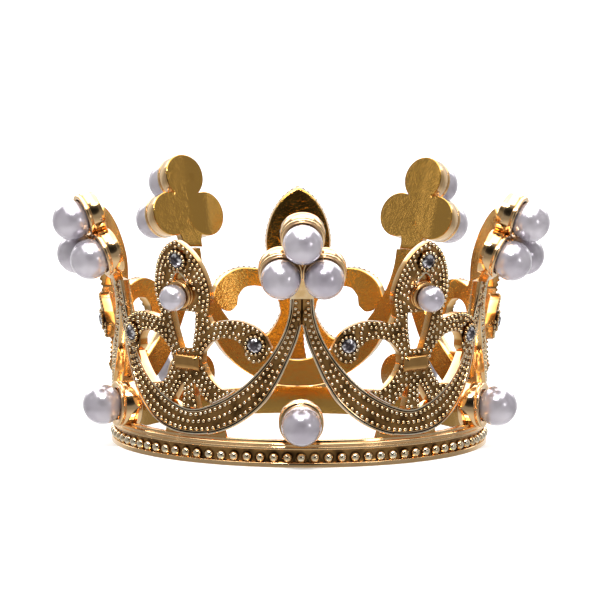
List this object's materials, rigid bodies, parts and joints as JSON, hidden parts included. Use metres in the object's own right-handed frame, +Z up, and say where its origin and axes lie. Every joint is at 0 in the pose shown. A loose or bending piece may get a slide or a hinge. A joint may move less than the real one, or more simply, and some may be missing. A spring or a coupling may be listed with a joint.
{
  "type": "crown",
  "caption": "Small rigid gold-plated crown with arches, fleurs-de-lis, trefoil finials, imitation pearls and clear stones, worn round a hair bun or set on a cake.",
  "frame": {"origin": "on the ring's axis, at the height of the bottom rim of the band", "axes": "+Z up along the ring's axis, -Y from the axis to the front trefoil finial, +X to the right as seen from the front"},
  "size_m": [0.074, 0.0733, 0.039],
  "materials": {
    "gold_plate": "antiqued bright gold plate, beaded outside and smooth inside",
    "pearl_coating": "glossy pearlescent coating, white with a lilac tint",
    "crystal": "clear faceted crystal with a dark foil back"
  },
  "bodies": {
    "root": {"base_band_segment_1": "gold_plate", "base_band_segment_2": "gold_plate", "base_band_segment_3": "gold_plate", "base_band_segment_4": "gold_plate", "base_band_segment_5": "gold_plate", "arch_panel_1": "gold_plate", "arch_panel_2": "gold_plate", "arch_panel_3": "gold_plate", "arch_panel_4": "gold_plate", "arch_panel_5": "gold_plate", "trefoil_finial_1": "gold_plate", "trefoil_finial_2": "gold_plate", "trefoil_finial_3": "gold_plate", "trefoil_finial_4": "gold_plate", "trefoil_finial_5": "gold_plate", "fleur_de_lis_1": "gold_plate", "fleur_de_lis_2": "gold_plate", "fleur_de_lis_3": "gold_plate", "fleur_de_lis_4": "gold_plate", "fleur_de_lis_5": "gold_plate", "base_pearl_1": "pearl_coating", "base_pearl_2": "pearl_coating", "base_pearl_3": "pearl_coating", "base_pearl_4": "pearl_coating", "base_pearl_5": "pearl_coating", "finial_top_pearl_1": "pearl_coating", "finial_top_pearl_2": "pearl_coating", "finial_top_pearl_3": "pearl_coating", "finial_top_pearl_4": "pearl_coating", "finial_top_pearl_5": "pearl_coating", "finial_left_pearl_1": "pearl_coating", "finial_left_pearl_2": "pearl_coating", "finial_left_pearl_3": "pearl_coating", "finial_left_pearl_4": "pearl_coating", "finial_left_pearl_5": "pearl_coating", "finial_right_pearl_1": "pearl_coating", "finial_right_pearl_2": "pearl_coating", "finial_right_pearl_3": "pearl_coating", "finial_right_pearl_4": "pearl_coating", "finial_right_pearl_5": "pearl_coating", "fleur_pearl_1": "pearl_coating", "fleur_pearl_2": "pearl_coating", "fleur_pearl_3": "pearl_coating", "fleur_pearl_4": "pearl_coating", "fleur_pearl_5": "pearl_coating", "fleur_tip_stone_1": "crystal", "fleur_tip_stone_2": "crystal", "fleur_tip_stone_3": "crystal", "fleur_tip_stone_4": "crystal", "fleur_tip_stone_5": "crystal", "fleur_left_stone_1": "crystal", "fleur_left_stone_2": "crystal", "fleur_left_stone_3": "crystal", "fleur_left_stone_4": "crystal", "fleur_left_stone_5": "crystal", "fleur_right_stone_1": "crystal", "fleur_right_stone_2": "crystal", "fleur_right_stone_3": "crystal", "fleur_right_stone_4": "crystal", "fleur_right_stone_5": "crystal"}
  },
  "joints": []
}
